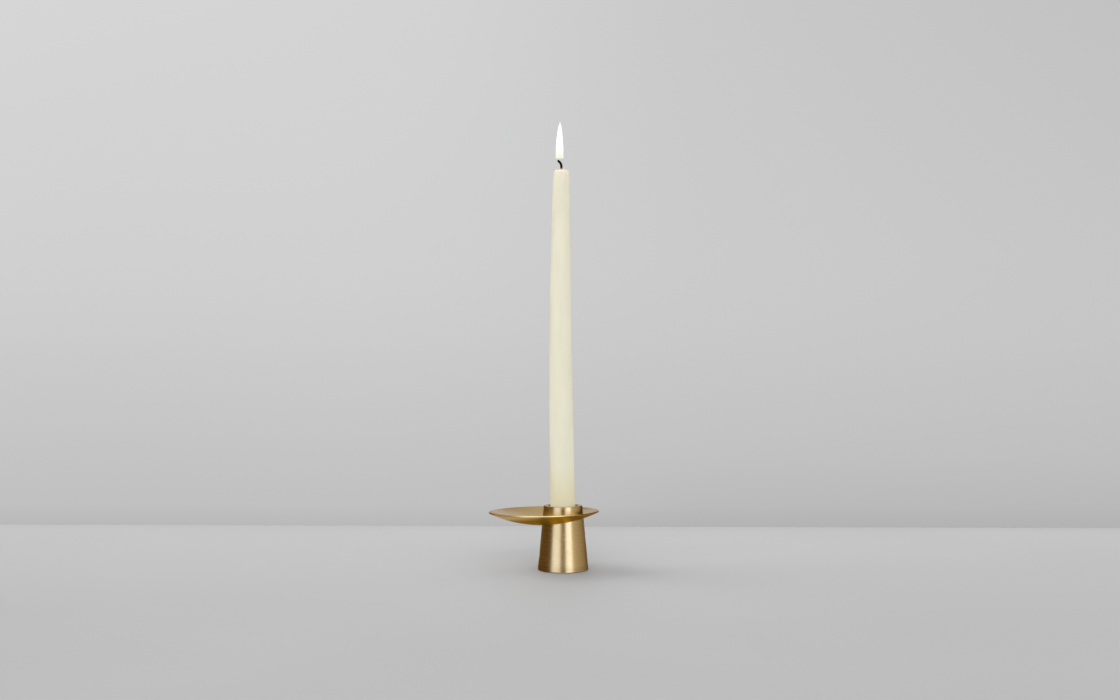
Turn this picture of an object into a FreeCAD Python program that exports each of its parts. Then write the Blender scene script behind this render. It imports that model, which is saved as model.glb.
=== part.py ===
import FreeCAD, Part
import math
import os

import Sketcher

# A turned brass taper-candle holder. A solid cone carries a shallow round drip dish, which is
# threaded off centre over the cone and sits on its taper. A taper candle stands in the socket.
#
# Frame: millimetres, +Z up. The origin is the middle of the felt pad's lower face, on the cone's
# axis. The dish hangs out towards -X, and the front is -Y.

DRIVING_SIZES = {
    # cone
    "cone_rise": 58.0,          # from the brass underside to the flat rim
    "cone_base_dia": 46.0,
    "cone_top_dia": 35.0,
    "edge_break": 0.35,         # small chamfer on the turned edges
    # candle socket
    "socket_dia": 23.2,
    "socket_depth": 24.0,
    "mouth_dia": 27.4,          # the socket opens out into a countersunk mouth
    "mouth_depth": 5.0,
    # felt pad in a recess under the cone
    "pad_dia": 39.6,
    "pad_proud": 0.5,           # how far the felt stands below the brass
    "recess_dia": 40.0,
    "recess_depth": 1.0,
    # drip dish, a cap of a thin spherical shell
    "dish_dia": 100.0,
    "dish_curve": 115.0,        # radius of its outer face
    "dish_sheet": 1.3,
    "dish_rim_height": 52.4,    # middle of the rim's lower edge
    "dish_offset": 17.4,        # from the cone's axis to the dish's
    "dish_lean": 1.2,           # the dish sits this many degrees out of level
    "lean_heading": 130.0,      # compass angle from +X that its low side points to
    "rim_round": 0.35,
    # seat ring between the dish and the cone
    "ring_wall": 0.45,
    "running_gap": 0.06,
    # candle and wick
    "candle_top": 362.6,
    "candle_shoulder": 350.0,   # height where the long side ends
    "candle_middle": 200.0,
    "candle_foot_dia": 22.6,
    "candle_middle_dia": 20.5,
    "candle_shoulder_dia": 15.6,
    "candle_round": 2.8,
    "foot_break": 0.8,
    "foot_gap": 0.05,
    "wick_dia": 1.8,
    "wick_stand": 3.1,          # straight length above the wax, before the curl
    "wick_curl": 6.0,           # radius of the curl
    "wick_turn": 66.0,          # degrees that the tip has curled over
}

doc = FreeCAD.newDocument("candle_holder")


def make_sheet():
    """The driving dimensions, one row each: a name and a number with that name as its alias."""
    sheet = doc.addObject("Spreadsheet::Sheet", "sizes")
    for row, (alias, value) in enumerate(DRIVING_SIZES.items(), start=1):
        sheet.set(f"A{row}", alias)
        sheet.set(f"B{row}", str(value))
        sheet.setAlias(f"B{row}", alias)
    doc.recompute()
    return sheet


sheet = make_sheet()


# ---------------------------------------------------------------- helpers

def bind(thing, **formulas):
    """Bind properties to formulas of the sheet's aliases, written as $alias."""
    for key, formula in formulas.items():
        thing.setExpression(key, formula.replace("$", "sizes."))


def origin_feature(body, role):
    return next(f for f in body.Origin.OriginFeatures if f.Role == role)


def new_body(name):
    body = doc.addObject("PartDesign::Body", name)
    body.Label = name
    return body


def new_sketch(body, name, role):
    sketch = body.newObject("Sketcher::SketchObject", name)
    sketch.AttachmentSupport = (origin_feature(body, role), [""])
    sketch.MapMode = "FlatFace"
    return sketch


def measure(sketch, kind, target, name, guess, formula):
    """Add one named size to a sketch and bind it to the sheet."""
    sketch.addConstraint(Sketcher.Constraint(kind, *target, guess))
    index = sketch.ConstraintCount - 1
    sketch.renameConstraint(index, name)
    sketch.setExpression(f"Constraints.{name}", formula.replace("$", "sizes."))


def place_point(sketch, edge, end, name, guess, across, up):
    """Fix a point's place from the sketch origin. A formula of None puts it on that axis."""
    if across is None:
        sketch.addConstraint(Sketcher.Constraint("PointOnObject", edge, end, -2))
    else:
        measure(sketch, "DistanceX", (-1, 1, edge, end), f"{name}_across", guess[0], across)
    if up is None:
        sketch.addConstraint(Sketcher.Constraint("PointOnObject", edge, end, -1))
    else:
        measure(sketch, "DistanceY", (-1, 1, edge, end), f"{name}_up", guess[1], up)


def close_ring(sketch, edges):
    """Join each edge's end to the next one's start."""
    for edge, following in zip(edges, edges[1:] + edges[:1]):
        sketch.addConstraint(Sketcher.Constraint("Coincident", edge, 2, following, 1))


def polygon(sketch, corners):
    """A closed outline of straight edges. Each corner is its name and two formulas."""
    step = 2 * math.pi / len(corners)
    guesses = [(20 + 10 * math.cos(k * step), 20 + 10 * math.sin(k * step)) for k in range(len(corners))]
    edges = []
    for start, end in zip(guesses, guesses[1:] + guesses[:1]):
        ends = (FreeCAD.Vector(*start, 0), FreeCAD.Vector(*end, 0))
        edges.append(sketch.addGeometry(Part.LineSegment(*ends), False))
    close_ring(sketch, edges)
    for edge, (name, across, up), guess in zip(edges, corners, guesses):
        place_point(sketch, edge, 1, name, guess, across, up)


def disc(sketch, name, guess, formula):
    """One circle about the sketch's origin."""
    middle, upright = FreeCAD.Vector(0, 0, 0), FreeCAD.Vector(0, 0, 1)
    circle = sketch.addGeometry(Part.Circle(middle, upright, guess), False)
    sketch.addConstraint(Sketcher.Constraint("Coincident", circle, 3, -1, 1))
    measure(sketch, "Radius", (circle,), name, guess, formula)


def revolve(body, sketch, kind, name):
    """Turn a sketch of the XZ plane through a full circle about the sketch's upright axis."""
    feature = body.newObject(kind, name)
    feature.Profile = sketch
    feature.ReferenceAxis = (sketch, ["V_Axis"])
    feature.Angle = 360
    return feature


def circles(shape):
    """Each full-circle edge of a shape, as its name and the edge."""
    for index, edge in enumerate(shape.Edges, start=1):
        if not edge.Degenerated and edge.Closed and isinstance(edge.Curve, Part.Circle):
            yield f"Edge{index}", edge


def circles_at(shape, height, radius=None):
    """Names of the full-circle edges at one height, and of one radius if it is given."""
    names = []
    for name, edge in circles(shape):
        level = abs(edge.CenterOfMass.z - height) < 0.01
        if level and (radius is None or abs(edge.Curve.Radius - radius) < 0.01):
            names.append(name)
    return names


def dress(body, kind, name, base, edges, size_name, formula):
    """A chamfer or a fillet on the named edges of a feature."""
    feature = body.newObject(kind, name)
    feature.Base = (base, edges)
    bind(feature, **{size_name: formula})
    return feature


# ---------------------------------------------------------------- the turned cone

def make_cone_body():
    body = new_body("cone_body")
    outline = new_sketch(body, "cone_outline", "XZ_Plane")
    polygon(outline, [
        ("base_middle", None, "$pad_proud"),
        ("base_edge", "$cone_base_dia / 2", "$pad_proud"),
        ("rim_edge", "$cone_top_dia / 2", "$pad_proud + $cone_rise"),
        ("rim_middle", None, "$pad_proud + $cone_rise"),
    ])
    blank = revolve(body, outline, "PartDesign::Revolution", "cone_blank")
    doc.recompute()
    blank_volume = blank.Shape.Volume

    bore = new_sketch(body, "socket_outline", "XZ_Plane")
    polygon(bore, [
        ("floor_middle", None, "$pad_proud + $cone_rise - $socket_depth"),
        ("floor_edge", "$socket_dia / 2", "$pad_proud + $cone_rise - $socket_depth"),
        ("throat", "$socket_dia / 2", "$pad_proud + $cone_rise - $mouth_depth"),
        ("mouth", "$mouth_dia / 2", "$pad_proud + $cone_rise"),
        ("mouth_middle", None, "$pad_proud + $cone_rise"),
    ])
    socket = revolve(body, bore, "PartDesign::Groove", "socket")
    doc.recompute()
    check_less(socket, blank_volume)

    ring = new_sketch(body, "recess_outline", "XY_Plane")
    bind(ring, **{"AttachmentOffset.Base.z": "$pad_proud"})
    disc(ring, "recess_radius", 20, "$recess_dia / 2")
    recess = body.newObject("PartDesign::Pocket", "pad_recess")
    recess.Profile = ring
    recess.Reversed = True
    bind(recess, Length="$recess_depth")
    doc.recompute()
    check_less(recess, socket.Shape.Volume)

    base_level = sheet.pad_proud
    rim_level = sheet.pad_proud + sheet.cone_rise
    turned_edges = (
        circles_at(recess.Shape, base_level, sheet.cone_base_dia / 2)
        + circles_at(recess.Shape, rim_level)
    )
    dress(body, "PartDesign::Chamfer", "broken_edges", recess, turned_edges, "Size", "$edge_break")
    doc.recompute()
    return body


def check_less(feature, before):
    """A cut that points away from the solid removes nothing, so its volume is compared."""
    if feature.Shape.Volume > before - 1.0:
        raise RuntimeError(f"{feature.Label} cut nothing")


# ---------------------------------------------------------------- the felt pad

def make_base_pad():
    body = new_body("base_pad")
    outline = new_sketch(body, "pad_outline", "XY_Plane")
    disc(outline, "pad_radius", 19, "$pad_dia / 2")
    felt = body.newObject("PartDesign::Pad", "pad_disc")
    felt.Profile = outline
    bind(felt, Length="$pad_proud + $recess_depth")
    doc.recompute()
    return body


# ---------------------------------------------------------------- the drip dish and its ring

def make_dish_sheet():
    """The spun sheet before its hole is cut. Its own origin is the middle of the rim's lower edge."""
    body = new_body("dish_sheet")
    outline = new_sketch(body, "dish_section", "XZ_Plane")
    curve = sheet.dish_curve
    thin = sheet.dish_curve - sheet.dish_sheet
    reach = math.asin(sheet.dish_dia / 2 / curve)
    centre = FreeCAD.Vector(0, curve * math.cos(reach), 0)
    upright = FreeCAD.Vector(0, 0, 1)
    down = -math.pi / 2

    outer = outline.addGeometry(
        Part.ArcOfCircle(Part.Circle(centre, upright, curve), down, down + reach), False)
    inner = outline.addGeometry(
        Part.ArcOfCircle(Part.Circle(centre, upright, thin), down, down + reach), False)
    rim_out = FreeCAD.Vector(curve * math.sin(reach), 0, 0)
    rim_in = centre + FreeCAD.Vector(thin * math.sin(reach), -thin * math.cos(reach), 0)
    edge = outline.addGeometry(Part.LineSegment(rim_out, rim_in), False)
    middle = outline.addGeometry(Part.LineSegment(
        centre - FreeCAD.Vector(0, thin, 0), centre - FreeCAD.Vector(0, curve, 0)), False)
    for first, second in (
        ((outer, 3), (inner, 3)),
        ((outer, 2), (edge, 1)),
        ((edge, 2), (inner, 2)),
        ((inner, 1), (middle, 1)),
        ((middle, 2), (outer, 1)),
    ):
        outline.addConstraint(Sketcher.Constraint("Coincident", *first, *second))
    for geometry, point in ((outer, 3), (outer, 1), (inner, 1)):
        outline.addConstraint(Sketcher.Constraint("PointOnObject", geometry, point, -2))
    outline.addConstraint(Sketcher.Constraint("PointOnObject", outer, 3, edge))
    outline.addConstraint(Sketcher.Constraint("PointOnObject", outer, 2, -1))
    measure(outline, "DistanceX", (-1, 1, outer, 2), "rim_radius", rim_out.x, "$dish_dia / 2")
    measure(outline, "Radius", (outer,), "outer_curve", curve, "$dish_curve")
    measure(outline, "Radius", (inner,), "inner_curve", thin, "$dish_curve - $dish_sheet")

    bowl = revolve(body, outline, "PartDesign::Revolution", "spun_bowl")
    doc.recompute()
    rim_edges = [
        name for name, edge in circles(bowl.Shape)
        if abs(edge.Curve.Radius - sheet.dish_dia / 2) < sheet.dish_sheet
    ]
    dress(body, "PartDesign::Fillet", "rounded_rim", bowl, rim_edges, "Radius", "$rim_round")

    # The dish leans about the level line at right angles to the heading of its low side
    heading = math.radians(sheet.lean_heading)
    body.Placement = FreeCAD.Placement(
        FreeCAD.Vector(0, 0, 0),
        FreeCAD.Rotation(FreeCAD.Vector(-math.sin(heading), math.cos(heading), 0), sheet.dish_lean))
    bind(body, **{
        "Placement.Base.x": "-$dish_offset",
        "Placement.Base.z": "$dish_rim_height",
        "Placement.Rotation.Angle": "$dish_lean",
    })
    doc.recompute()
    return body


def taper_tool(name, clearance):
    """A cone that follows the holder's taper, standing clearance outside it, with both ends long."""
    tool = doc.addObject("Part::Cone", name)
    slope = "(($cone_base_dia - $cone_top_dia) / 2 / $cone_rise)"
    bind(
        tool,
        Radius1=f"$cone_base_dia / 2 + {clearance}",
        Radius2=f"$cone_base_dia / 2 + {clearance} - {slope} * ($cone_rise + 20)",
        Height="$cone_rise + 20",
    )
    bind(tool, **{"Placement.Base.z": "$pad_proud"})
    return tool


def make_dish_and_ring(dish_sheet):
    """The hole in the dish follows the cone's taper. A thin ring of the same section lines it."""
    hole = taper_tool("dish_hole", "$running_gap * 2 + $ring_wall")
    dish = doc.addObject("Part::Cut", "drip_dish")
    dish.Base = dish_sheet
    dish.Tool = hole
    dish.Label = "drip_dish"

    ring_outside = taper_tool("ring_outside", "$running_gap + $ring_wall")
    ring_inside = taper_tool("ring_inside", "$running_gap")
    sleeve = doc.addObject("Part::Cut", "ring_sleeve")
    sleeve.Base = ring_outside
    sleeve.Tool = ring_inside
    ring = doc.addObject("Part::Common", "seat_ring")
    ring.Base = sleeve
    ring.Tool = dish_sheet
    ring.Label = "seat_ring"
    doc.recompute()
    return dish, ring


# ---------------------------------------------------------------- the candle

CANDLE_FOOT = "$pad_proud + $cone_rise - $socket_depth + $foot_gap"


def candle_foot():
    """The height of the formula CANDLE_FOOT, as a number."""
    return sheet.pad_proud + sheet.cone_rise - sheet.socket_depth + sheet.foot_gap


def make_candle():
    """A taper: its long side is one slow arc, the top edge is rounded, and the wick runs through."""
    body = new_body("candle")
    outline = new_sketch(body, "candle_outline", "XZ_Plane")
    foot = candle_foot()
    hole_radius = sheet.wick_dia / 2 + 0.02
    low = FreeCAD.Vector(sheet.candle_foot_dia / 2, foot + 25, 0)
    mid = FreeCAD.Vector(sheet.candle_middle_dia / 2, sheet.candle_middle, 0)
    high = FreeCAD.Vector(sheet.candle_shoulder_dia / 2, sheet.candle_shoulder, 0)
    corners = [
        FreeCAD.Vector(hole_radius, foot, 0),
        FreeCAD.Vector(low.x, foot, 0),
        low,
        high,
        FreeCAD.Vector(high.x - 0.4, sheet.candle_top, 0),
        FreeCAD.Vector(hole_radius, sheet.candle_top, 0),
    ]
    under = outline.addGeometry(Part.LineSegment(corners[0], corners[1]), False)
    parallel = outline.addGeometry(Part.LineSegment(corners[1], corners[2]), False)
    side = outline.addGeometry(Part.Arc(low, mid, high), False)
    shoulder = outline.addGeometry(Part.LineSegment(corners[3], corners[4]), False)
    top = outline.addGeometry(Part.LineSegment(corners[4], corners[5]), False)
    core = outline.addGeometry(Part.LineSegment(corners[5], corners[0]), False)
    close_ring(outline, [under, parallel, side, shoulder, top, core])
    place_point(outline, under, 1, "foot_core", corners[0], "$wick_dia / 2 + 0.02", CANDLE_FOOT)
    place_point(outline, parallel, 1, "foot_edge", corners[1], "$candle_foot_dia / 2", CANDLE_FOOT)
    place_point(
        outline, side, 1, "socket_line", low,
        "$candle_foot_dia / 2", "$pad_proud + $cone_rise")
    place_point(
        outline, side, 2, "shoulder_line", high,
        "$candle_shoulder_dia / 2", "$candle_shoulder")
    place_point(
        outline, shoulder, 2, "top_edge", corners[4],
        "$candle_shoulder_dia / 2 - 0.4", "$candle_top")
    place_point(outline, top, 2, "top_core", corners[5], "$wick_dia / 2 + 0.02", "$candle_top")
    measure(outline, "Radius", (side,), "side_curve", outline.Geometry[side].Radius, side_curve_formula())

    wax = revolve(body, outline, "PartDesign::Revolution", "wax")
    doc.recompute()
    top_edges = circles_at(wax.Shape, sheet.candle_top, sheet.candle_shoulder_dia / 2 - 0.4)
    rounded = dress(body, "PartDesign::Fillet", "rounded_top", wax, top_edges, "Radius", "$candle_round")
    doc.recompute()
    foot_edges = circles_at(rounded.Shape, foot, sheet.candle_foot_dia / 2)
    dress(body, "PartDesign::Chamfer", "foot_bevel", rounded, foot_edges, "Size", "$foot_break")
    doc.recompute()
    return body


def side_curve_formula():
    """The radius of the arc through the socket line, the middle and the shoulder of the candle."""
    rise_one = "($candle_middle - $pad_proud - $cone_rise)"
    rise_two = "($candle_shoulder - $candle_middle)"
    step_one = "(($candle_foot_dia - $candle_middle_dia) / 2)"
    step_two = "(($candle_middle_dia - $candle_shoulder_dia) / 2)"
    side_one = f"sqrt({rise_one}^2 + {step_one}^2)"
    side_two = f"sqrt({rise_two}^2 + {step_two}^2)"
    chord = f"sqrt(({rise_one} + {rise_two})^2 + ({step_one} + {step_two})^2)"
    doubled_area = f"({rise_one} * {step_two} - {rise_two} * {step_one})"
    return f"{side_one} * {side_two} * {chord} / (2 * {doubled_area})"


def make_wick():
    """A braided cord through the whole candle. Its free tip curls over towards -X."""
    body = new_body("wick")
    path = new_sketch(body, "wick_path", "XZ_Plane")
    foot = candle_foot()
    bend = sheet.candle_top + sheet.wick_stand
    straight = path.addGeometry(
        Part.LineSegment(FreeCAD.Vector(0, foot, 0), FreeCAD.Vector(0, bend, 0)), False)
    circle = Part.Circle(
        FreeCAD.Vector(-sheet.wick_curl, bend, 0), FreeCAD.Vector(0, 0, 1), sheet.wick_curl)
    curl = path.addGeometry(
        Part.ArcOfCircle(circle, 0, math.radians(sheet.wick_turn)), False)
    path.addConstraint(Sketcher.Constraint("Tangent", straight, 2, curl, 1))
    path.addConstraint(Sketcher.Constraint("PointOnObject", straight, 1, -2))
    path.addConstraint(Sketcher.Constraint("Vertical", straight))
    measure(path, "DistanceY", (-1, 1, straight, 1), "wick_foot", foot, CANDLE_FOOT)
    measure(path, "DistanceY", (-1, 1, straight, 2), "wick_bend", bend, "$candle_top + $wick_stand")
    measure(path, "Radius", (curl,), "curl_radius", sheet.wick_curl, "$wick_curl")
    measure(
        path, "DistanceY", (straight, 2, curl, 2), "tip_rise",
        sheet.wick_curl * math.sin(math.radians(sheet.wick_turn)), "$wick_curl * sin($wick_turn * 1 deg)")

    section = new_sketch(body, "wick_section", "XY_Plane")
    bind(section, **{"AttachmentOffset.Base.z": CANDLE_FOOT})
    disc(section, "wick_radius", 1, "$wick_dia / 2")
    doc.recompute()

    cord = body.newObject("PartDesign::AdditivePipe", "wick_cord")
    cord.Profile = section
    cord.Spine = (path, ["Edge1", "Edge2"])
    doc.recompute()
    return body


# ---------------------------------------------------------------- build, check and write

def check_document():
    for thing in doc.Objects:
        if "Invalid" in thing.State or "Error" in thing.State:
            raise RuntimeError(f"{thing.Label} did not compute: {thing.State}")


def write_parts(pieces):
    os.makedirs("parts", exist_ok=True)
    for piece in pieces:
        shape = piece.Shape
        if shape.isNull() or not shape.isValid() or len(shape.Solids) != 1:
            raise RuntimeError(f"{piece.Label} is not one valid solid")
    for piece in pieces:
        box = piece.Shape.BoundBox
        print(
            f"{piece.Label}: volume {piece.Shape.Volume:.1f} mm3,"
            f" x {box.XMin:.2f}..{box.XMax:.2f}, y {box.YMin:.2f}..{box.YMax:.2f},"
            f" z {box.ZMin:.2f}..{box.ZMax:.2f}")
        piece.Shape.exportStep(f"parts/{piece.Label}.step")


cone_body = make_cone_body()
base_pad = make_base_pad()
drip_dish, seat_ring = make_dish_and_ring(make_dish_sheet())
candle = make_candle()
wick = make_wick()
doc.recompute()
check_document()
write_parts([cone_body, base_pad, drip_dish, seat_ring, candle, wick])
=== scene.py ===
"""Looks, light and camera for the taper candle holder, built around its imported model.

Everything is in metres in the row frame: +Z up the candle, -Y to the front, the felt's lower
face at z = 0.
"""

import math

import bpy
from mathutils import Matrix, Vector, noise


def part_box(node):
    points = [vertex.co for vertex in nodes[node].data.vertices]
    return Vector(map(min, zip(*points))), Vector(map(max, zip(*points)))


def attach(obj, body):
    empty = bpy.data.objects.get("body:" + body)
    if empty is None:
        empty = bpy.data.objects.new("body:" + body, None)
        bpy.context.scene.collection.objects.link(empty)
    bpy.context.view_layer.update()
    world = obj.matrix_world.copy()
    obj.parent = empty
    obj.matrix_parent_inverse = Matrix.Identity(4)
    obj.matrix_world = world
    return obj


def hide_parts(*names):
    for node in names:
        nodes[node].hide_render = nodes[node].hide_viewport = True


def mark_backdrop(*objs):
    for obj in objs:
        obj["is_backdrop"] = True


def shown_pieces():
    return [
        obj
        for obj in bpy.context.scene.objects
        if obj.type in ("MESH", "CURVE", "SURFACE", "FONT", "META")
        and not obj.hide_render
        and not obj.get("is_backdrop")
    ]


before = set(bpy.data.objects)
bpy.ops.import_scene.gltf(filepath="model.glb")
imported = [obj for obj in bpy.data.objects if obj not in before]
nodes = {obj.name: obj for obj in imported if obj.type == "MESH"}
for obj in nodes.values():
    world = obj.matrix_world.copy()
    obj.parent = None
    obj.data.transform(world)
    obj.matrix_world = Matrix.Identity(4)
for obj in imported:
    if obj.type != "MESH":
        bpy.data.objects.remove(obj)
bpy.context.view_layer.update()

MM = 0.001
ON_TABLE, ON_HOLDER = "lit_by_table_lights", "lit_by_holder_lights"
CANDLE_FOOT, CANDLE_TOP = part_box("candle")[0].z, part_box("candle")[1].z


# ---------------------------------------------------------------- camera, light and stage

def link(thing, name):
    piece = bpy.data.objects.new(name, thing)
    bpy.context.scene.collection.objects.link(piece)
    return piece


def make_camera():
    """Level, a little above the holder, straight at its front."""
    aside, distance, height = -2.8 * MM, 1.36, 0.19936
    lens = bpy.data.cameras.new("camera")
    lens.sensor_fit = "HORIZONTAL"
    lens.sensor_width = 36
    lens.lens = 48.2
    lens.clip_start = 0.05
    lens.clip_end = 200
    camera = link(lens, "camera")
    camera.location = (aside, -distance, height)
    camera.rotation_euler = (math.pi / 2, 0, 0)
    bpy.context.scene.camera = camera


class Nodes:
    """A short way to write a node tree: each call makes a node, sets its values and links its inputs."""

    def __init__(self, tree):
        self.tree = tree
        tree.nodes.clear()

    def add(self, kind, settings=None, **inputs):
        node = self.tree.nodes.new(kind)
        for name, value in (settings or {}).items():
            setattr(node, name, value)
        for name, value in inputs.items():
            socket = self.socket(node, name)
            if isinstance(value, bpy.types.NodeSocket):
                self.tree.links.new(value, socket)
            else:
                socket.default_value = value
        return node

    @staticmethod
    def socket(node, name):
        """The input of that name, or the one with that number for i0, i1 and so on."""
        if name.startswith("i") and name[1:].isdigit():
            return node.inputs[int(name[1:])]
        wanted = name.replace("_", " ").lower()
        for socket in node.inputs:
            if socket.name.lower() == wanted and socket.enabled:
                return socket
        raise KeyError(f"{node.bl_idname} has no input {name}")

    def math(self, operation, *values):
        inputs = {f"i{k}": value for k, value in enumerate(values)}
        return self.add("ShaderNodeMath", {"operation": operation}, **inputs).outputs[0]

    def product(self, first, *others):
        for factor in others:
            first = self.math("MULTIPLY", first, factor)
        return first

    def total(self, first, *others):
        for term in others:
            first = self.math("ADD", first, term)
        return first

    def spread(self, value, low, high, to_low=0.0, to_high=1.0, kind="SMOOTHSTEP"):
        """value's stretch from low to high, mapped to another stretch and held flat outside it."""
        settings = {"interpolation_type": kind, "clamp": True}
        return self.add(
            "ShaderNodeMapRange", settings,
            value=value, from_min=low, from_max=high, to_min=to_low, to_max=to_high).outputs[0]

    def mix(self, share, a, b):
        """Two colours mixed by the socket share; either colour may be a socket too."""
        node = self.tree.nodes.new("ShaderNodeMix")
        node.data_type = "RGBA"
        self.tree.links.new(share, node.inputs[0])
        for index, color in ((6, a), (7, b)):
            if isinstance(color, bpy.types.NodeSocket):
                self.tree.links.new(color, node.inputs[index])
            else:
                node.inputs[index].default_value = (*color, 1.0)
        return node.outputs[2]

    def noise(self, vector, scale, detail=2.0, rough=0.5, dimensions="3D", **more):
        settings = {"noise_dimensions": dimensions}
        inputs = {"scale": scale, "detail": detail, "roughness": rough, **more}
        if dimensions == "1D":
            inputs["w"] = vector
        else:
            inputs["vector"] = vector
        return self.add("ShaderNodeTexNoise", settings, **inputs).outputs[0]

    def place(self, offset=(0, 0, 0), scale=(1, 1, 1)):
        """The object's own coordinates, shifted and then scaled."""
        coordinates = self.add("ShaderNodeTexCoord").outputs["Object"]
        shifted = self.add("ShaderNodeVectorMath", {"operation": "ADD"}, i0=coordinates, i1=offset).outputs[0]
        return self.add("ShaderNodeVectorMath", {"operation": "MULTIPLY"}, i0=shifted, i1=scale).outputs[0]

    def parts(self, vector):
        return self.add("ShaderNodeSeparateXYZ", vector=vector).outputs

    def radius(self, vector):
        """Distance from the Z axis."""
        x, y, _ = self.parts(vector)
        return self.math("SQRT", self.total(self.product(x, x), self.product(y, y)))

    def strip(self, value, centre, half_width, soft):
        """1 within half_width of centre, falling to 0 over the stretch soft."""
        off = self.math("ABSOLUTE", self.math("SUBTRACT", value, float(centre)))
        return self.spread(off, half_width + soft / 2, half_width - soft / 2)

    def surface(self, **inputs):
        """Ends a material's tree with one shader."""
        shader = self.add("ShaderNodeBsdfPrincipled", **inputs)
        self.add("ShaderNodeOutputMaterial", surface=shader.outputs[0])


def make_world():
    """A pale grey wall for the camera, a soft even sky for matt surfaces, and a dim room with
    strip lights for glossy ones."""
    world = bpy.data.worlds.new("studio")
    bpy.context.scene.world = world
    world.use_nodes = True
    world.cycles.sampling_method = "NONE"
    n = Nodes(world.node_tree)
    direction = n.add("ShaderNodeTexCoord").outputs["Generated"]
    across, along, up = n.parts(direction)
    path = n.add("ShaderNodeLightPath")

    wall = n.add("ShaderNodeBackground", color=wall_color(n, up), strength=wall_shade(n, across, up))
    # The room that shows in metal counts for less on light that has met a matt surface before.
    share = n.spread(path.outputs["Diffuse Depth"], 0.0, 1.0, 1.0, 0.45, kind="LINEAR")
    room = n.add("ShaderNodeBackground", color=room_color(n, across, along, up), strength=share)
    sky_strength = n.total(n.product(along, 0.26), 0.535)
    sky = n.add("ShaderNodeBackground", color=(1.0, 0.998, 0.994, 1.0), strength=sky_strength)

    matt_or_gloss = n.add(
        "ShaderNodeMixShader", i0=path.outputs["Is Glossy Ray"], i1=sky.outputs[0], i2=room.outputs[0])
    all_rays = n.add(
        "ShaderNodeMixShader", i0=path.outputs["Is Camera Ray"], i1=matt_or_gloss.outputs[0],
        i2=wall.outputs[0])
    n.add("ShaderNodeOutputWorld", surface=all_rays.outputs[0])


def wall_color(n, up):
    """Grey that grows paler from the table's edge upwards."""
    ramp = n.add("ShaderNodeValToRGB", i0=n.spread(up, -0.12, 0.24, kind="LINEAR"))
    ramp.color_ramp.interpolation = "B_SPLINE"
    stops = ramp.color_ramp.elements
    stops[0].position, stops[0].color = 0.0, (0.497, 0.497, 0.497, 1)
    stops[1].position, stops[1].color = 1.0, (0.634, 0.634, 0.636, 1)
    for position, level in ((0.3, 0.594), (0.5, 0.618)):
        stops.new(position).color = (level, level, level, 1)
    return ramp.outputs[0]


def wall_shade(n, across, up):
    """1 in the middle and less to the right, the more so higher up, with three weak shadows."""
    reach = 0.4
    slope = n.total(n.product(n.math("MAXIMUM", up, 0.0), 0.75), 0.13)
    side = n.math("MAXIMUM", n.math("MINIMUM", across, reach), -reach)
    shade = n.math("SUBTRACT", 1.0, n.product(slope, side))
    upper_right = n.product(
        n.spread(across, -0.08, 0.10), n.spread(up, -0.06, 0.22, 0.0, 0.045, kind="LINEAR"))
    lower_right = n.product(
        n.spread(across, 0.0, 0.10), n.spread(up, -0.07, -0.11, 0.0, 0.048, kind="LINEAR"))
    far_left = n.spread(across, -0.10, -0.36, 0.0, 0.036)
    for darker in (upper_right, lower_right, far_left):
        shade = n.math("SUBTRACT", shade, darker)
    return shade


def room_color(n, across, along, up):
    """What metal shows: a dim brown room, and in it soft-edged lights of several colours. Angles
    go round from the front and are positive on the right."""
    azimuth = n.product(n.math("ARCTAN2", across, n.product(along, -1.0)), 180 / math.pi)
    from_back = n.math("SUBTRACT", 180.0, n.math("ABSOLUTE", azimuth))

    low = n.spread(up, 0.75, 0.45)
    left_strip = n.product(n.strip(azimuth, -34.1, 20.9, 13), low)
    right_strip = n.product(n.strip(azimuth, 28.5, 15.5, 8), low)
    between = n.product(n.strip(azimuth, -3, 7, 8), low)
    right_fill = n.product(
        n.spread(azimuth, 30, 48), n.spread(azimuth, 140, 40, 0.15, 1.0, kind="LINEAR"),
        n.spread(azimuth, 178, 120), n.spread(up, 0.38, 0.14))
    behind = n.strip(from_back, 0, 16, 10)
    wall_low = n.product(behind, n.spread(up, 0.30, 0.18))
    wall_middle = n.product(behind, n.strip(up, 0.40, 0.17, 0.12))
    wall_high = n.product(behind, n.spread(up, 0.51, 0.63), n.spread(up, 0.95, 0.85))
    upper_left = n.product(n.strip(azimuth, -100, 45, 30), n.strip(up, 0.50, 0.26, 0.12))
    over_front = n.product(n.strip(azimuth, 0, 100, 40), n.strip(up, 0.78, 0.15, 0.08))
    ceiling = n.spread(up, 0.8, 0.97)

    room = n.add("ShaderNodeCombineXYZ", x=0.124, y=0.065, z=0.013).outputs[0]
    for mask, light in (
            (left_strip, (1.21, 1.33, 1.80)),
            (right_strip, (1.60, 1.78, 2.45)),
            (right_fill, (0.60, 0.57, 0.52)),
            (between, (0.16, 0.13, 0.03)),
            (wall_low, (0.38, 0.38, 0.42)),
            (wall_middle, (0.56, 0.63, 1.02)),
            (wall_high, (0.46, 0.46, 0.46)),
            (upper_left, (0.34, 0.30, 0.14)),
            (over_front, (1.3, 1.3, 1.3)),
            (ceiling, (0.45, 0.43, 0.38))):
        room = n.add(
            "ShaderNodeVectorMath", {"operation": "MULTIPLY_ADD"}, i0=mask, i1=light, i2=room).outputs[0]
    return room


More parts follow.
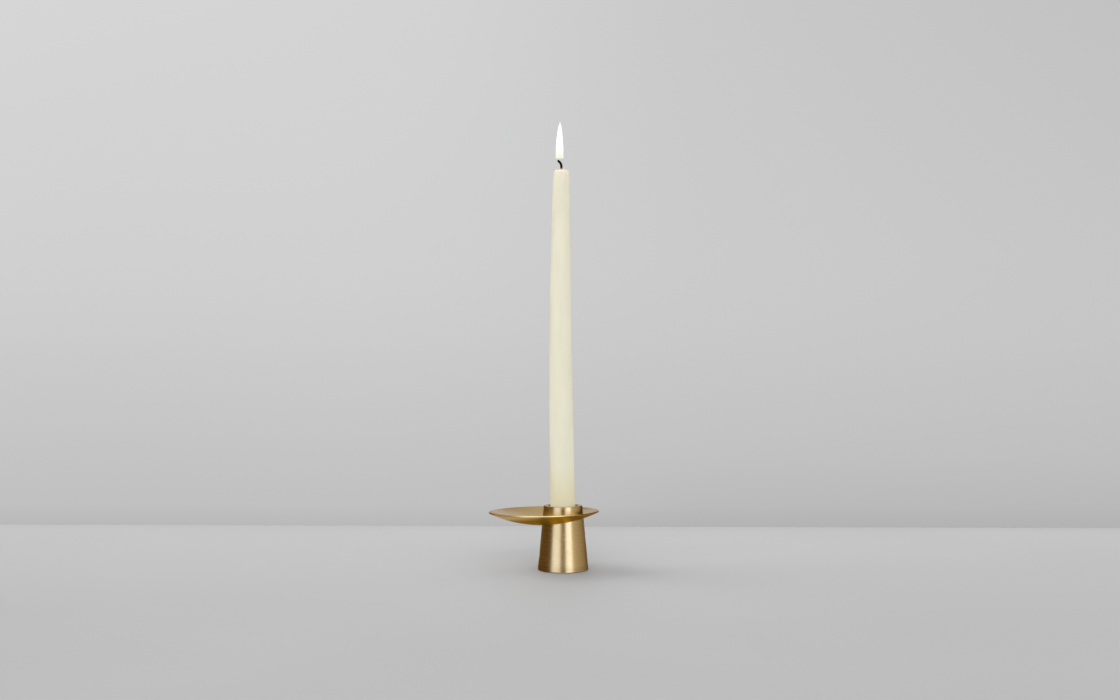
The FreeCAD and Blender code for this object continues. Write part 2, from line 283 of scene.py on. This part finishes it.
# Name, what it lights, azimuth (from the front, positive on the right), elevation, strength and
# how wide it looks. The angles are in degrees.
SUNS = (
    ("key", ON_TABLE, -106, 38, 1.25, 50),
    ("table_front", ON_TABLE, 0, 18, 2.20, 34),
    ("table_left", ON_TABLE, -34, 20, 0.62, 38),
    ("table_right", ON_TABLE, 34, 20, 0.62, 38),
    ("table_back", ON_TABLE, -170, 18, 0.55, 34),
    ("left", ON_HOLDER, -58, 14, 1.55, 50),
    ("front", ON_HOLDER, 4, 12, 0.80, 50),
    ("right", ON_HOLDER, 66, 12, 1.3, 50),
)


def make_lights():
    """Five wide suns give the table its soft shadow, and three low ones light the candle from the
    left, the front and the right. None of them shows in metal, which has the room's lights."""
    for name in (ON_TABLE, ON_HOLDER):
        bpy.data.collections.new(name)
    for name, reach, azimuth, elevation, energy, width in SUNS:
        sun = bpy.data.lights.new(name, "SUN")
        sun.energy = energy
        sun.angle = math.radians(width)
        lamp = link(sun, name)
        flat, rise = math.radians(azimuth), math.radians(elevation)
        towards = Vector(
            (math.sin(flat) * math.cos(rise), -math.cos(flat) * math.cos(rise), math.sin(rise)))
        lamp.rotation_euler = towards.to_track_quat("Z", "Y").to_euler()
        lamp.visible_glossy = False
        lamp.light_linking.receiver_collection = bpy.data.collections[reach]


def sort_for_lights(table):
    """Puts the table and the holder's pieces where their own lights reach them."""
    for piece in table:
        bpy.data.collections[ON_TABLE].objects.link(piece)
    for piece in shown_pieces():
        bpy.data.collections[ON_HOLDER].objects.link(piece)


def mesh_of(name, verts, faces):
    mesh = bpy.data.meshes.new(name)
    mesh.from_pydata([tuple(v) for v in verts], [], faces)
    mesh.validate()
    mesh.update()
    mesh.shade_smooth()
    return link(mesh, name)


def make_stage():
    """A table that reaches far to the front and the sides and ends at the wall behind the holder,
    and a painted soft shadow at the wall's foot."""
    far = 40.0
    left, right, front = -0.1, 0.05, 0.1  # the strip of table that metal shows
    edge_y, askew = 0.3375, 0.027  # where the back edge passes the holder, and its slope
    straight_to = 6.0
    shadow_height = 24 * MM

    def back(x, z=0.0):
        """A point of the table's back edge. The edge runs a little askew, except at its far right,
        where it would cut through the table."""
        return x, edge_y - askew * min(straight_to, x), z

    strip = mesh_of(
        "table_top", [(left, front, 0), (right, front, 0), back(right), back(left)], [(0, 1, 2, 3)])
    around = mesh_of(
        "table_top_far",
        [(-far, -far, 0), (far, -far, 0), (far, front, 0), (-far, front, 0),
         (left, front, 0), (right, front, 0),
         back(left), back(-far), back(right), back(straight_to), back(far)],
        [(0, 1, 2, 5, 4, 3), (3, 4, 6, 7), (5, 2, 10, 9, 8)])
    # Metal shows only the strip behind the holder, and the dim room where the rest would be.
    around.visible_glossy = False
    paper = table_material()
    strip.data.materials.append(paper)
    around.data.materials.append(paper)
    # A grey sheet at the wall's foot: a painted shadow, not cast by any lamp.
    shadow = mesh_of(
        "table_back_line",
        [back(x, z) for x in (-far, straight_to, far) for z in (0.0, shadow_height)],
        [(0, 2, 3, 1), (2, 4, 5, 3)])
    shadow.data.materials.append(wall_shadow_material())
    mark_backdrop(strip, around, shadow)
    return strip, around


def new_material(name):
    material = bpy.data.materials.new(name)
    material.use_nodes = True
    return material, Nodes(material.node_tree)


def table_material():
    """Matt paper with a fine tooth and broad, faint clouds, and painted shade that makes it paler towards the
    wall and darker towards the front.
    """
    material, n = new_material("table_paper")
    place = n.place()
    tooth = n.noise(place, 900.0, 3.0, 0.6)
    cloud = n.noise(place, 3.0, 2.0, 0.5)
    # Painted shade: the paper is paler towards the wall and darker towards the front.
    near = n.spread(n.parts(place)[1], 0.336, -0.35)
    color = n.mix(near, (0.473, 0.475, 0.477), (0.419, 0.4205, 0.422))
    color = n.mix(n.spread(cloud, 0.3, 0.7, 0.0, 0.5), color, (0.446, 0.448, 0.450))
    bump = n.add("ShaderNodeBump", strength=0.12, distance=0.0002, height=tooth)
    n.surface(base_color=color, roughness=0.72, specular_ior_level=0.25, normal=bump.outputs[0])
    return material


def wall_shadow_material():
    """A painted shadow: a grey veil, thickest at the table and gone at the top. It is weaker on the left."""
    material, n = new_material("gap_shadow")
    across, _, height = n.parts(n.place())
    share = n.spread(height, 23 * MM, 2 * MM, 0.0, 0.62, kind="LINEAR")
    share = n.product(share, n.spread(across, -0.10, 0.03, 0.66, 1.0))
    shadow = n.add("ShaderNodeEmission", color=(0.437, 0.437, 0.437, 1))
    clear = n.add("ShaderNodeBsdfTransparent")
    shader = n.add("ShaderNodeMixShader", i0=share, i1=clear.outputs[0], i2=shadow.outputs[0])
    n.add("ShaderNodeOutputMaterial", surface=shader.outputs[0])
    return material


# ---------------------------------------------------------------- materials

PALE_EDGE = (0.97, 0.88, 0.70)  # what brass reflects at a glancing angle
# The dish's underside: tarnish and painted shade for the shaded table it reflects near the cone, and a
# painted reflection of the lit table near the rim.
TARNISH_AND_SHADE = (0.48, 0.32, 0.055)  # the dish's underside near the cone
TARNISH_AND_SHADE_EDGE = (0.66, 0.46, 0.08)  # the same place at a glancing angle
CLEAN_AND_LIT_EDGE = (1.0, 0.89, 0.66)  # the underside near the rim at a glancing angle


def scaled(color, factor, lift=0.0):
    return tuple(min(1.0, factor * channel + lift) for channel in color)


def brass(name, base, patina, centre, wear, painted_shade, ring_scale, tarnished_and_shaded=False):
    """Satin turned brass, with fine turning lines round the piece's own axis, bands, smudges and
    spots of patina, edges worn bright and patches of painted shade. On the dish, what faces down
    is dull and yellow near the middle, partly tarnish and partly painted shade, and paler towards
    the rim, a painted reflection of the lit table."""
    material, n = new_material(name)
    place = n.place(offset=(-centre[0], -centre[1], 0))
    # One coordinate that grows both outwards and upwards, so that its noise makes rings.
    climb = 1.37
    outline = n.total(n.radius(place), n.product(n.parts(place)[2], climb))
    rings = n.noise(outline, ring_scale, 3.0, 0.7, dimensions="1D")
    bands = n.noise(outline, 420.0, 1.0, 0.5, dimensions="1D")
    smudge = n.noise(place, 55.0, 3.0, 0.55, distortion=0.6)
    spots = n.noise(place, 380.0, 2.0, 0.6)
    worn = wear(n)

    tone = n.mix(n.spread(smudge, 0.45, 0.8, 0.0, 0.22), base, patina)
    tone = n.mix(n.spread(bands, 0.35, 0.65, 0.0, 0.08), tone, patina)
    tone = n.mix(n.spread(spots, 0.72, 0.82, 0.0, 0.25), tone, scaled(patina, 0.55))
    rough = n.total(n.spread(rings, 0.25, 0.75, 0.23, 0.28), n.spread(smudge, 0.4, 0.8, 0.0, 0.03))
    edge_tint = (*PALE_EDGE, 1.0)
    # What faces down: partly tarnish, partly painted shade and a painted reflection of the table below.
    if tarnished_and_shaded:
        facing = n.parts(n.add("ShaderNodeNewGeometry").outputs["True Normal"])[2]
        below = n.spread(facing, 0.1, -0.3)
        outward = n.spread(n.radius(n.place()), 46 * MM, 60 * MM)
        worn = n.product(worn, n.math("SUBTRACT", 1.0, below))
        # Painted shade near the middle, and a painted reflection of the lit table towards the rim.
        tone = n.mix(below, tone, n.mix(outward, TARNISH_AND_SHADE, scaled(base, 1.45)))
        edge_tint = n.mix(below, PALE_EDGE, n.mix(outward, TARNISH_AND_SHADE_EDGE, CLEAN_AND_LIT_EDGE))
        rough = n.total(rough, n.product(below, 0.14))
    # Painted shade: the metal darkens towards a dim patina colour wherever the painted shade masks reach.
    tone = n.mix(painted_shade(n), tone, scaled(patina, 0.35))
    tone = n.mix(worn, tone, scaled(base, 1.12, 0.03))
    rough = n.math("SUBTRACT", rough, n.product(worn, 0.05))

    bump = n.add("ShaderNodeBump", strength=0.25, distance=0.00002, height=rings)
    n.surface(
        base_color=tone, metallic=1.0, roughness=rough, specular_tint=edge_tint, normal=bump.outputs[0])
    return material


def cone_wear(n):
    """The rim's two edges and the foot's edge are rubbed bright, unevenly."""
    low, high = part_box("cone_body")
    place = n.place()
    height = n.parts(place)[2]
    uneven = n.noise(place, 90.0, 3.0, 0.6)
    rim = n.spread(height, high.z - 1.0 * MM, high.z - 0.2 * MM)
    foot = n.spread(height, low.z + 1.4 * MM, low.z + 0.2 * MM)
    return n.product(n.math("MAXIMUM", rim, foot), n.spread(uneven, 0.3, 0.6, 0.25, 0.8))


def cone_painted_shade(n):
    """Painted shade in the socket's mouth, above the dish and just above the table, and a painted dark
    reflection down the front.
    """
    low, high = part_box("cone_body")
    place = n.place()
    across, along, height = n.parts(place)
    patchy = n.noise(place, 140.0, 3.0, 0.6)
    dense = n.spread(patchy, 0.2, 0.6, 0.7, 1.0)
    # Painted shade in the socket's mouth, where the gap round the candle lies in shade.
    mouth = n.product(
        n.spread(n.radius(place), 13.3 * MM, 12.4 * MM),
        n.spread(height, high.z - 2.5 * MM, high.z - 1.5 * MM), n.spread(patchy, 0.2, 0.5, 0.6, 0.85))
    # Painted shade: darker just above the table.
    foot_shade = n.product(
        n.spread(height, low.z + 8 * MM, low.z + 0.5 * MM), n.spread(patchy, 0.2, 0.7, 0.12, 0.3))
    # The corner above the dish gets painted shade, most of it where the dish reaches out least.
    corner = n.product(
        n.spread(height, low.z + 55.3 * MM, low.z + 52.2 * MM),
        n.spread(height, low.z + 46 * MM, low.z + 47 * MM),
        n.spread(across, 8 * MM, 12.5 * MM, 0.04, 0.60))
    # Painted shade on the right side, just above the dish.
    side_shade = n.product(
        n.spread(across, 14.0 * MM, 16.6 * MM), n.spread(height, low.z + 47 * MM, low.z + 49 * MM), dense)
    # A painted dark reflection runs down the middle of the front.
    off = n.math("ABSOLUTE", n.total(across, 0.2 * MM))
    front_dark_line = n.product(
        n.spread(off, 2.4 * MM, 0.5 * MM, 0.0, 0.5),
        n.spread(height, low.z + 57 * MM, low.z + 54 * MM),
        n.spread(height, low.z + 46 * MM, low.z + 48 * MM), n.spread(along, 0.0, -8 * MM))
    darkest = mouth
    for mark in (foot_shade, corner, side_shade, front_dark_line):
        darkest = n.math("MAXIMUM", darkest, mark)
    return darkest


def dish_middle():
    """The x and y of the dish's own axis, which isn't the cone's."""
    low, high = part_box("drip_dish")
    return (low.x + high.x) / 2, (low.y + high.y) / 2


def dish_wear(n):
    """The cut rim is rubbed bright."""
    x, y = dish_middle()
    place = n.place(offset=(-x, -y, 0))
    uneven = n.noise(place, 70.0, 3.0, 0.6)
    rim = n.spread(n.radius(place), 48.6 * MM, 49.7 * MM)
    return n.product(rim, n.spread(uneven, 0.3, 0.6, 0.2, 0.65))


def dish_painted_shade(n):
    """Painted shade darkens the dish close round its hole, most of all on its short side."""
    place = n.place()
    patchy = n.noise(place, 120.0, 3.0, 0.6)
    side = n.spread(n.parts(place)[0], 9 * MM, 17 * MM, 0.12, 0.95)
    share = n.product(side, n.spread(patchy, 0.2, 0.6, 0.7, 1.0))
    return n.product(n.spread(n.radius(place), 23.5 * MM, 20 * MM), share)


def nylon_material():
    """Natural nylon: pale, faintly grainy and a little translucent."""
    material, n = new_material("natural_nylon")
    grain = n.noise(n.place(), 600.0, 2.0, 0.5)
    color = n.mix(n.spread(grain, 0.35, 0.65), (0.60, 0.49, 0.31), (0.66, 0.56, 0.38))
    bump = n.add("ShaderNodeBump", strength=0.1, distance=0.00003, height=grain)
    n.surface(
        base_color=color, roughness=n.spread(grain, 0.3, 0.7, 0.36, 0.46),
        subsurface_weight=0.15, subsurface_radius=(0.001, 0.0008, 0.0005), subsurface_scale=1.0,
        normal=bump.outputs[0])
    return material


def felt_material():
    """Dark wool felt: bent fibres in loose clumps."""
    material, n = new_material("wool_felt")
    place = n.place()
    warp = n.noise(place, 260.0, 2.0, 0.5)
    bent = n.add(
        "ShaderNodeVectorMath", {"operation": "MULTIPLY_ADD"}, i0=warp, i1=(0.004,) * 3, i2=place).outputs[0]
    fibres = n.noise(bent, 2600.0, 4.0, 0.75)
    clumps = n.noise(place, 330.0, 2.0, 0.5)
    color = n.mix(n.spread(fibres, 0.35, 0.7), (0.030, 0.027, 0.025), (0.085, 0.079, 0.072))
    color = n.mix(n.spread(clumps, 0.4, 0.7, 0.0, 0.4), color, (0.04, 0.037, 0.034))
    height = n.total(fibres, n.product(clumps, 0.6))
    bump = n.add("ShaderNodeBump", strength=0.8, distance=0.0002, height=height)
    n.surface(
        base_color=color, roughness=0.95, sheen_weight=0.35, sheen_roughness=0.5,
        specular_ior_level=0.2, normal=bump.outputs[0])
    return material


def wax_material(axis_x):
    """Ivory wax: soft light inside it, a low sheen, faint cloudiness and a wet pool round the wick.
    Painted flame light makes it warmer near the top, and painted warm light from the brass warms it near the
    metal."""
    material, n = new_material("ivory_wax")
    place = n.place()
    height = n.parts(place)[2]
    cloud = n.noise(n.place(scale=(1, 1, 0.25)), 90.0, 3.0, 0.5)
    streak = n.noise(n.place(scale=(1, 1, 0.03)), 520.0, 2.0, 0.5)
    speck = n.noise(place, 1500.0, 1.0, 0.5)
    from_axis = n.radius(n.place(offset=(-axis_x, 0, 0)))
    # Painted light: the flame's glow, warmer and paler near the top.
    painted_flame_light = n.spread(height, CANDLE_TOP - 16 * MM, CANDLE_TOP - 1 * MM, 0.0, 0.8)
    # Painted reflection: warm light bounced from the brass, low on the candle near the metal.
    low = n.spread(height, 105 * MM, 58 * MM, 0.0, 0.65)
    pool = n.product(
        n.spread(from_axis, 4.6 * MM, 3.6 * MM),
        n.spread(height, CANDLE_TOP - 2 * MM, CANDLE_TOP - 1.6 * MM))

    color = n.mix(n.spread(cloud, 0.3, 0.7), (0.800, 0.775, 0.615), (0.835, 0.812, 0.665))
    color = n.mix(n.spread(streak, 0.45, 0.75, 0.0, 0.3), color, (0.78, 0.75, 0.60))
    color = n.mix(painted_flame_light, color, (0.88, 0.80, 0.68))
    color = n.mix(low, color, (0.80, 0.74, 0.50))
    color = n.mix(n.product(pool, 0.7), color, (0.80, 0.70, 0.47))
    rough = n.total(n.spread(cloud, 0.3, 0.7, 0.36, 0.46), n.spread(speck, 0.4, 0.7, 0.0, 0.05))
    rough = n.math("SUBTRACT", rough, n.product(pool, 0.30))
    height_map = n.total(n.product(streak, 0.5), n.product(speck, 0.1))
    bump = n.add("ShaderNodeBump", strength=0.12, distance=0.0003, height=height_map)
    n.surface(
        base_color=color, roughness=rough, ior=1.44,
        subsurface_weight=0.7, subsurface_radius=(1.0, 0.8, 0.5), subsurface_scale=0.004,
        normal=bump.outputs[0])
    return material


def wick_material():
    """Braided cotton: cream inside the wax, brown and waxy where it leaves it, then black char."""
    material, n = new_material("braided_wick")
    place = n.place()
    fibre = n.noise(place, 2200.0, 3.0, 0.7)
    ragged = n.product(n.math("SUBTRACT", fibre, 0.5), 0.0012)
    edge = n.total(n.parts(place)[2], ragged)
    soaked = n.spread(edge, CANDLE_TOP - 2 * MM, CANDLE_TOP - 0.5 * MM)
    charred = n.spread(edge, CANDLE_TOP + 1.0 * MM, CANDLE_TOP + 2.0 * MM)
    color = n.mix(n.spread(fibre, 0.35, 0.7), (0.62, 0.57, 0.46), (0.80, 0.76, 0.66))
    color = n.mix(soaked, color, (0.50, 0.29, 0.12))
    char = n.mix(n.spread(fibre, 0.4, 0.75), (0.0015, 0.0013, 0.0012), (0.007, 0.006, 0.0055))
    color = n.mix(charred, color, char)
    bump = n.add("ShaderNodeBump", strength=0.5, distance=0.0001, height=fibre)
    n.surface(
        base_color=color, roughness=n.spread(fibre, 0.3, 0.7, 0.7, 0.95), specular_ior_level=0.08,
        normal=bump.outputs[0])
    return material


def flame_material(base, tip, x):
    """Glowing gas: a faint foot that glows most round its edge, a white body, fading at the very tip."""
    material, n = new_material("flame_glow")
    height = n.parts(n.place())[2]
    body = n.spread(height, tip, tip - 9 * MM, 0.45, 1.0)
    tint = n.add("ShaderNodeValToRGB", i0=n.spread(height, base, base + 16 * MM, kind="LINEAR"))
    stops = tint.color_ramp.elements
    stops[0].color = (1.0, 0.85, 0.60, 1)
    stops[1].color = (1.0, 0.99, 0.95, 1)
    for share, color in (
            (0.12, (1.0, 0.78, 0.50, 1)), (0.34, (1.0, 0.97, 0.34, 1)), (0.58, (1.0, 0.99, 0.88, 1))):
        stops.new(share).color = color
    from_middle = n.radius(n.place(offset=(-x, 0, 0)))
    mantle = n.spread(from_middle, 1.8 * MM, 3.4 * MM, 26.0, 110.0)
    kindled = n.math("POWER", n.spread(height, base + 2 * MM, base + 12 * MM), 1.5)
    strength = n.product(body, n.total(n.product(kindled, 300.0), mantle))
    glow = n.add("ShaderNodeEmission", color=tint.outputs[0], strength=strength)
    n.add("ShaderNodeOutputMaterial", volume=glow.outputs[0])
    return material


# ---------------------------------------------------------------- pieces

def wobble(x, y, z, scale, size):
    """Smooth noise between about -size and size."""
    return size * noise.noise(Vector((x, y, z)) * scale)


def lathe(name, outline, around, centre_x=lambda z: 0.0, shape=None):
    """Turns a closed (radius, height) outline round the axis. centre_x bends the axis, and
    shape(angle, radius, height) may nudge each point."""
    verts, faces = [], []
    count = len(outline)
    for j in range(around):
        angle = 2 * math.pi * j / around
        for radius, height in outline:
            r, z = shape(angle, radius, height) if shape else (radius, height)
            verts.append((centre_x(height) + r * math.cos(angle), r * math.sin(angle), z))
    for j in range(around):
        a, b = j * count, (j + 1) % around * count
        for i in range(count):
            k = (i + 1) % count
            faces.append((a + i, b + i, b + k, a + k))
    return mesh_of(name, verts, faces)


def steps(start, end, count):
    """count values from start up to, but not including, end."""
    return [start + (end - start) * k / count for k in range(count)]


def arc(centre, radius, start, end, count):
    """Points of a circular arc from one angle to another, in degrees, with both ends."""
    angles = [math.radians(start + (end - start) * k / count) for k in range(count + 1)]
    return [(centre[0] + radius * math.cos(a), centre[1] + radius * math.sin(a)) for a in angles]


def radius_through(low, middle, high):
    """The radius at a height, on the circle through three (radius, height) points."""
    (ax, ay), (bx, by), (cx, cy) = low, middle, high
    d = 2 * (ax * (by - cy) + bx * (cy - ay) + cx * (ay - by))
    a2, b2, c2 = ax * ax + ay * ay, bx * bx + by * by, cx * cx + cy * cy
    ux = (a2 * (by - cy) + b2 * (cy - ay) + c2 * (ay - by)) / d
    uy = (a2 * (cx - bx) + b2 * (ax - cx) + c2 * (bx - ax)) / d
    size = math.hypot(ax - ux, ay - uy)
    return lambda z: ux + math.copysign(math.sqrt(size * size - (z - uy) ** 2), ax - ux)


def candle_axis(z):
    """The x of the candle's middle line: it stands a hair to the left, leans and bows."""
    mouth = 52 * MM
    aside, lean, bow = 0.25 * MM, 1.30 * MM, 1.35 * MM
    share = max(0.0, (z - mouth) / (CANDLE_TOP - mouth))
    return -aside - lean * share - bow * math.sin(math.pi * min(share, 1.0))


HOLE = 0.92 * MM  # radius of the wick's channel


def make_candle():
    """The taper: a slow arc, a softened top edge, a shallow melted pool and the wick's channel."""
    foot_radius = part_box("candle")[1].x
    cone_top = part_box("cone_body")[1].z
    middle = (10.25 * MM, 200 * MM)
    side_end = (7.8 * MM, 350 * MM)
    side = radius_through((foot_radius, cone_top), middle, side_end)
    shoulder = (7.2 * MM, CANDLE_TOP - 2.8 * MM)
    soft = CANDLE_TOP - shoulder[1]
    chamfer = 0.8 * MM

    outline = [(HOLE, CANDLE_FOOT), (foot_radius - chamfer, CANDLE_FOOT)]
    outline.append((foot_radius, CANDLE_FOOT + chamfer))
    outline += [(foot_radius, z) for z in steps(CANDLE_FOOT + 2 * MM, cone_top, 14)]
    outline += [(side(z), z) for z in steps(cone_top, side_end[1], 150)]
    outline += zip(steps(side(side_end[1]), shoulder[0], 10), steps(side_end[1], shoulder[1], 10))
    outline += arc((shoulder[0] - soft, shoulder[1]), soft, 0, 84, 12)
    # The lip of the pool, its slope and its floor, and the wax drawn up round the wick.
    pool = ((3.9, 0.03), (3.5, 0.22), (3.0, 0.62), (2.5, 0.80), (1.9, 0.84), (1.4, 0.72), (1.1, 0.45))
    outline += [(radius * MM, CANDLE_TOP - depth * MM) for radius, depth in pool]
    outline.append((HOLE, CANDLE_TOP - 0.30 * MM))
    outline += [(HOLE, z) for z in steps(CANDLE_TOP - 1.5 * MM, CANDLE_FOOT, 80)]

    def hand_dipped(angle, radius, height):
        """Slow waves over the side above the holder, and an uneven melted top."""
        if radius <= 1.2 * MM:
            return radius, height
        above = min(1.0, max(0.0, (height - cone_top) / (20 * MM)))
        c, s = math.cos(angle), math.sin(angle)
        broad = wobble(c, s, height * 18, 1.3, 0.10 * MM)
        fine = wobble(2 * c, 2 * s, height * 60, 1.0, 0.03 * MM)
        near_top = min(1.0, max(0.0, (height - CANDLE_TOP + 3 * MM) / (3 * MM)))
        sunk = near_top * (0.12 * MM + wobble(c, s, 3.0, 1.6, 0.16 * MM))
        return radius + above * (broad + fine), height - sunk

    candle = lathe("candle_wax", outline, 96, candle_axis, hand_dipped)
    candle.data.materials.append(wax_material(candle_axis(CANDLE_TOP)))
    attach(candle, "candle")
    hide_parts("candle")


def wick_line():
    """(x, z) along the wick: up the candle's middle, out of the pool and over to the left."""
    stand, curl, turn = 3.1 * MM, 6.0 * MM, math.radians(66)
    straight, bend = CANDLE_TOP - 1 * MM, CANDLE_TOP + stand
    x_top = candle_axis(CANDLE_TOP)
    points = [(candle_axis(z), z) for z in steps(CANDLE_FOOT, straight, 640)]
    points += [(x_top, z) for z in steps(straight, bend, 14)]
    tip_turns = 44
    for k in range(tip_turns + 1):
        a = turn * k / tip_turns
        points.append((x_top - curl * (1 - math.cos(a)), bend + curl * math.sin(a)))
    return points


def make_wick():
    """A plaited cord through the whole candle, with a charred, slightly swollen tip."""
    thick, pitch, around = 0.9 * MM, 2.6 * MM, 18
    char_length, blunt_rows = 7 * MM, 3.5
    points = wick_line()
    rows = len(points)
    verts, faces = [], []
    travelled = 0.0
    for i, (x, z) in enumerate(points):
        before, after = points[max(i - 1, 0)], points[min(i + 1, rows - 1)]
        tangent = Vector((after[0] - before[0], 0, after[1] - before[1])).normalized()
        outward = Vector((tangent.z, 0, -tangent.x))
        if i:
            travelled += math.hypot(x - points[i - 1][0], z - points[i - 1][1])
        burnt = max(0.0, z - CANDLE_TOP) / char_length
        to_tip = (rows - 1 - i) / blunt_rows
        taper = min(1.0, math.sqrt(to_tip) * 0.75 + 0.25) * (1 + 0.04 * min(1.0, burnt))
        twist = math.pi * travelled / pitch
        for j in range(around):
            angle = 2 * math.pi * j / around
            c, s = math.cos(angle), math.sin(angle)
            # Three strands wind one way round the cord, and three the other way.
            plait = max(abs(math.cos(1.5 * angle + twist)), abs(math.cos(1.5 * angle - twist)))
            rough = wobble(c, s, travelled * 900, 1.2, 0.10 * min(1.0, burnt * 2))
            r = thick * taper * (0.84 + 0.15 * plait + rough)
            r = min(r, thick) * (1 + 0.25 * min(1.0, burnt * 4))
            verts.append(Vector((x, 0, z)) + r * (c * outward + Vector((0, s, 0))))
    for i in range(rows - 1):
        for j in range(around):
            k = (j + 1) % around
            faces.append((i * around + j, i * around + k, (i + 1) * around + k, (i + 1) * around + j))
    for row, flip in ((0, True), (rows - 1, False)):
        centre = len(verts)
        verts.append(Vector((points[row][0], 0, points[row][1])))
        for j in range(around):
            a, b = row * around + j, row * around + (j + 1) % around
            faces.append((b, a, centre) if flip else (a, b, centre))
    wick = mesh_of("wick_braid", verts, faces)
    wick.data.materials.append(wick_material())
    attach(wick, "candle")
    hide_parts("wick")


def make_felt():
    """The felt disc, with a soft cut edge and a slightly uneven face."""
    low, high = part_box("base_pad")
    radius, thick = high.x, high.z - low.z
    axis_gap, inner = 0.0004 * MM, 0.6 * MM  # the faces' middle and their first ring
    soft, soft_top = 0.35 * MM, 0.35 * MM * 0.6
    outline = [(axis_gap, low.z)]
    outline += [(r, low.z) for r in steps(inner, radius - soft, 34)]
    outline += arc((radius - soft, low.z + soft), soft, -90, 0, 5)
    outline += arc((radius - soft_top, high.z - soft_top), soft_top, 0, 90, 4)
    outline += [(r, high.z) for r in steps(radius - soft, inner, 34)]
    outline.append((axis_gap, high.z))

    def matted(angle, r, z):
        """Fibres lift the lower face and roughen the cut edge."""
        c, s = math.cos(angle), math.sin(angle)
        edge = max(0.0, (r - radius + 1 * MM) / (1 * MM))
        lift = abs(wobble(r * c, r * s, 0.0, 420.0, 0.07 * MM)) if z < low.z + thick / 2 else 0.0
        return r - edge * abs(wobble(c * 9, s * 9, z * 900, 1.0, 0.10 * MM)), z + lift

    felt = lathe("base_felt", outline, 180, shape=matted)
    felt.data.materials.append(felt_material())
    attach(felt, "holder")
    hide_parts("base_pad")


def make_flame():
    """The flame is glowing gas and no part of the holder, so it is staged. It goes with the candle."""
    base, tip = CANDLE_TOP + 10 * MM, CANDLE_TOP + 44.3 * MM
    length, widest = tip - base, 3.70 * MM
    x = candle_axis(CANDLE_TOP) - 1.63 * MM
    count = 60
    outline = []
    for k in range(count + 1):
        t = k / count
        # Blunt at the foot, widest low down, and drawn out to a point.
        belly = (1 - t ** 1.4) ** 0.58 * min(1.0, t / 0.03) ** 0.3
        outline.append((max(belly * widest, 0.0002 * MM), base + length * t))
    outline.append((0.0001 * MM, base + length / 2))

    def middle(z):
        """The upper half leans a little to the right."""
        return x + 0.45 * MM * max(0.0, (z - base) / length - 0.5) / 0.5

    flame = lathe("flame", outline, 40, middle)
    flame.data.materials.append(flame_material(base, tip, x))
    flame.visible_shadow = False
    flame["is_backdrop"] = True
    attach(flame, "candle")

    glow = bpy.data.lights.new("flame_light", "POINT")
    glow.energy = 0.002
    glow.color = (1.0, 0.72, 0.42)
    glow.shadow_soft_size = 3.5 * MM
    lamp = link(glow, "flame_light")
    lamp.location = (x, 0, base + 9 * MM)
    lamp.visible_camera = False
    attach(lamp, "candle")


def dress(node, material):
    nodes[node].material_slots[0].material = material


def dress_packed_pieces():
    """The cone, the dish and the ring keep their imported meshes, so they only get materials."""
    dress("cone_body", brass(
        "cone_turned_brass", base=(0.66, 0.52, 0.26), patina=(0.50, 0.36, 0.13), centre=(0.0, 0.0),
        wear=cone_wear, painted_shade=cone_painted_shade, ring_scale=5200.0))
    dress("drip_dish", brass(
        "dish_spun_brass", base=(0.70, 0.56, 0.29), patina=(0.54, 0.40, 0.16), centre=dish_middle(),
        wear=dish_wear, painted_shade=dish_painted_shade, ring_scale=3600.0, tarnished_and_shaded=True))
    dress("seat_ring", nylon_material())


bpy.context.scene.view_settings.view_transform = "Standard"
make_camera()
make_world()
make_lights()
table = make_stage()
dress_packed_pieces()
make_candle()
make_wick()
make_felt()
make_flame()
sort_for_lights(table)
